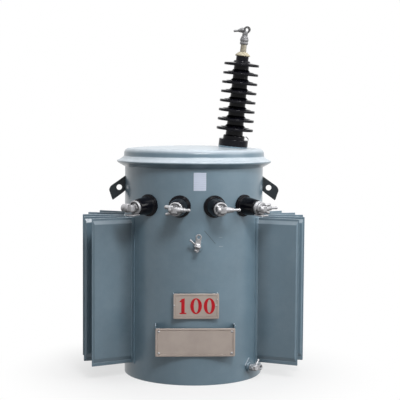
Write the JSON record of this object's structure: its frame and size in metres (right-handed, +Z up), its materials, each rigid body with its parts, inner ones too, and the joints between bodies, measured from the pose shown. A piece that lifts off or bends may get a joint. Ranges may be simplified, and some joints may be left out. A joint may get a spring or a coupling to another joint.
{
  "type": "pole mounted transformer",
  "caption": "Round oil tank with a banded domed cover, leaning shedded bushing, radial radiator panels, front low voltage bushings and rear pole hangers; steps line voltage down.",
  "frame": {"origin": "centre of the tank's flat underside, on the floor", "axes": "+Z up, -Y towards the low voltage front, +X to the right seen from the front"},
  "size_m": [0.8396, 0.6896, 1.2957],
  "materials": {
    "tank_paint": "satin blue-grey paint",
    "lug_paint": "dark grey paint",
    "black_porcelain": "glossy black",
    "tinned_metal": "tinned, cast",
    "bronze_stud": "dull bronze",
    "terminal_cap": "pale moulded",
    "plate_metal": "brushed champagne",
    "gasket": "matt"
  },
  "bodies": {
    "root": {"tank_wall": "tank_paint", "tank_bottom": "tank_paint", "cover": "tank_paint", "cover_gasket": "gasket", "cover_band": "tank_paint", "cover_band_bolt": "tinned_metal", "hv_bushing_pad": "tank_paint", "hv_bushing_clamp": "black_porcelain", "hv_bushing": "black_porcelain", "hv_terminal_cap": "terminal_cap", "hv_stud": "bronze_stud", "hv_connector": "tinned_metal", "hv_clamp_screw": "tinned_metal", "lv_bushing_1": "black_porcelain", "lv_bushing_2": "black_porcelain", "lv_bushing_3": "black_porcelain", "lv_bushing_4": "black_porcelain", "lv_terminal_1": "tinned_metal", "lv_terminal_2": "tinned_metal", "lv_terminal_3": "tinned_metal", "lv_terminal_4": "tinned_metal", "lv_clamp_screws": "tinned_metal", "radiator_panel_left_1": "tank_paint", "radiator_panel_left_2": "tank_paint", "radiator_panel_left_3": "tank_paint", "radiator_panel_left_4": "tank_paint", "radiator_panel_left_5": "tank_paint", "radiator_panel_right_1": "tank_paint", "radiator_panel_right_2": "tank_paint", "radiator_panel_right_3": "tank_paint", "radiator_panel_right_4": "tank_paint", "radiator_panel_right_5": "tank_paint", "lifting_lug_left": "lug_paint", "lifting_lug_right": "lug_paint", "hanger_upper": "tank_paint", "hanger_lower": "tank_paint", "nameplate_brackets": "tank_paint", "nameplate": "plate_metal", "rating_plate_brackets": "tank_paint", "rating_plate": "plate_metal", "front_ground_pad": "tank_paint", "front_ground_connector": "tinned_metal", "base_ground_pad": "tank_paint", "base_ground_connector": "tinned_metal", "ground_clamp_screws": "tinned_metal"}
  },
  "joints": []
}
